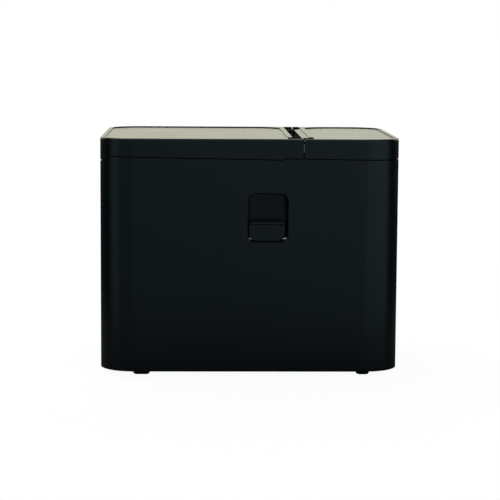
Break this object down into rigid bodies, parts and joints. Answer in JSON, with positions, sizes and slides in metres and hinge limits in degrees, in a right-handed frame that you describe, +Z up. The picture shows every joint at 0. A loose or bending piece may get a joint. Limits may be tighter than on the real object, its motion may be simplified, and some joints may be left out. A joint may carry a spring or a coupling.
{
  "type": "thermal receipt printer",
  "caption": "Desktop receipt printer: tall rounded case, rear-hinged paper cover, front-hinged cutter cover, paper slot across the top, side pull lever, roll bay, print head and cutter.",
  "frame": {"origin": "on the surface the printer stands on, under the middle of its bounding box", "axes": "+X to the front of the printer, -Y to the side with the pull lever, +Z up"},
  "size_m": [0.18, 0.14, 0.1437],
  "materials": {
    "aluminium": "extruded",
    "board_green": "solder mask",
    "brass": "turned",
    "button_grey": "satin",
    "casing_black": "fine satin texture",
    "ceramic": "glazed",
    "foot_rubber": "moulded",
    "gear_white": "natural",
    "hard_steel": "ground",
    "inner_black": "smooth matte",
    "light_clear": "clear",
    "platen_rubber": "ground",
    "screw_steel": "plated",
    "socket_black": "moulded",
    "socket_steel": "pressed",
    "steel": "rolled sheet",
    "well_black": "matte"
  },
  "bodies": {
    "case": {"main_case": "casing_black", "base_plate": "inner_black", "base_screws": "screw_steel", "rubber_feet": "foot_rubber", "lever_housing": "well_black", "lever_pin": "steel", "io_plate": "steel", "inner_frame": "inner_black", "frame_screws": "screw_steel", "near_end_sensor": "socket_black", "paper_sensor": "socket_black", "head_pin": "steel", "head_springs": "steel", "mechanism_frame": "steel", "deck_screws": "screw_steel", "gear_posts": "steel", "gear_clips": "steel", "feed_motor": "steel", "motor_screws": "screw_steel", "lock_pivots": "steel", "lock_spring": "steel", "cutter_base": "steel", "cutter_motor": "steel", "main_board": "board_green", "board_screws": "screw_steel", "power_socket": "socket_black", "drawer_socket": "socket_black", "usb_socket": "socket_steel", "lan_socket": "socket_steel", "control_panel": "inner_black", "key_board": "board_green", "status_lights": "light_clear"},
    "paper_cover": {"rear_cover": "casing_black", "cover_liner": "inner_black", "liner_screws": "screw_steel", "fixed_blade": "hard_steel", "blade_screws": "screw_steel", "platen_bushes": "gear_white", "rear_hinge_pins": "steel"},
    "platen": {"platen_shaft": "steel", "platen_roller": "platen_rubber", "platen_gear": "gear_white"},
    "front_lid": {"front_cover": "casing_black", "front_hinge_pins": "steel"},
    "head": {"print_head": "ceramic", "head_heatsink": "aluminium"},
    "idler": {"idler_gear": "gear_white"},
    "reduction": {"reduction_gear": "gear_white"},
    "feed_drive": {"motor_pinion": "brass"},
    "lock": {"lock_bracket": "steel"},
    "lever": {"release_lever": "casing_black"},
    "cutter": {"cutter_blade": "hard_steel", "cutter_carriage": "inner_black"},
    "cutter_cross": {"cutter_shaft": "steel", "cutter_gear": "gear_white"},
    "cutter_drive": {"cutter_pinion": "brass"},
    "feed_key": {"feed_button": "button_grey"},
    "power_key": {"power_button": "button_grey"}
  },
  "joints": [
    {"name": "paper_cover_hinge", "type": "hinge", "parent": "case", "child": "paper_cover", "pos_m": [-0.0872, 0, 0.1375], "axis": [0, -1, 0], "range_deg": [0, 95]},
    {"name": "front_cover_hinge", "type": "hinge", "parent": "case", "child": "front_lid", "pos_m": [0.0872, 0, 0.1375], "axis": [0, 1, 0], "range_deg": [0, 80]},
    {"name": "platen_spin", "type": "hinge", "parent": "paper_cover", "child": "platen", "pos_m": [0.0175, 0, 0.112], "axis": [0, -1, 0], "continuous": true},
    {"name": "idler_spin", "type": "hinge", "parent": "case", "child": "idler", "pos_m": [0.01543, 0, 0.09231], "axis": [0, -1, 0], "continuous": true},
    {"name": "reduction_spin", "type": "hinge", "parent": "case", "child": "reduction", "pos_m": [0.01939, 0, 0.07753], "axis": [0, -1, 0], "continuous": true},
    {"name": "feed_motor_spin", "type": "hinge", "parent": "case", "child": "feed_drive", "pos_m": [0.03096, 0, 0.06374], "axis": [0, -1, 0], "continuous": true},
    {"name": "head_tilt", "type": "hinge", "parent": "case", "child": "head", "pos_m": [0.02321, 0, 0.09164], "axis": [0, 1, 0], "range_deg": [0, 3], "stiffness_Nm_per_rad": 1.5, "springref_deg": -2.86, "deforming": ["head_springs"]},
    {"name": "lever_pull", "type": "hinge", "parent": "case", "child": "lever", "pos_m": [0, -0.0665, 0.084], "axis": [1, 0, 0], "range_deg": [0, 22], "stiffness_Nm_per_rad": 0.12, "springref_deg": -5.73},
    {"name": "lock_turn", "type": "hinge", "parent": "case", "child": "lock", "pos_m": [0.03, 0, 0.09], "axis": [0, 1, 0], "range_deg": [0, 14.3]},
    {"name": "cutter_slide", "type": "slide", "parent": "case", "child": "cutter", "axis": [-1, 0, 0], "range_m": [0, 0.008]},
    {"name": "cutter_cross_spin", "type": "hinge", "parent": "case", "child": "cutter_cross", "pos_m": [0.052, 0, 0.1168], "axis": [0, -1, 0], "range_deg": [0, 83.9]},
    {"name": "cutter_motor_spin", "type": "hinge", "parent": "case", "child": "cutter_drive", "pos_m": [0.06049, 0, 0.10831], "axis": [0, -1, 0], "range_deg": [-251.6, 0]},
    {"name": "feed_button_press", "type": "slide", "parent": "case", "child": "feed_key", "axis": [-1, 0, 0], "range_m": [0, 0.0012], "stiffness_N_per_m": 500, "springref_m": -0.0004},
    {"name": "power_button_press", "type": "slide", "parent": "case", "child": "power_key", "axis": [-1, 0, 0], "range_m": [0, 0.0012], "stiffness_N_per_m": 500, "springref_m": -0.0004}
  ],
  "couplings": [
    {"joint": "idler_spin", "follows": "platen_spin", "ratio": -0.83333},
    {"joint": "reduction_spin", "follows": "platen_spin", "ratio": 2},
    {"joint": "feed_motor_spin", "follows": "platen_spin", "ratio": -8},
    {"joint": "lock_turn", "follows": "lever_pull", "ratio": 0.65},
    {"joint": "cutter_cross_spin", "follows": "cutter_slide", "rad_per_m": 178.57},
    {"joint": "cutter_motor_spin", "follows": "cutter_slide", "rad_per_m": -535.71}
  ]
}
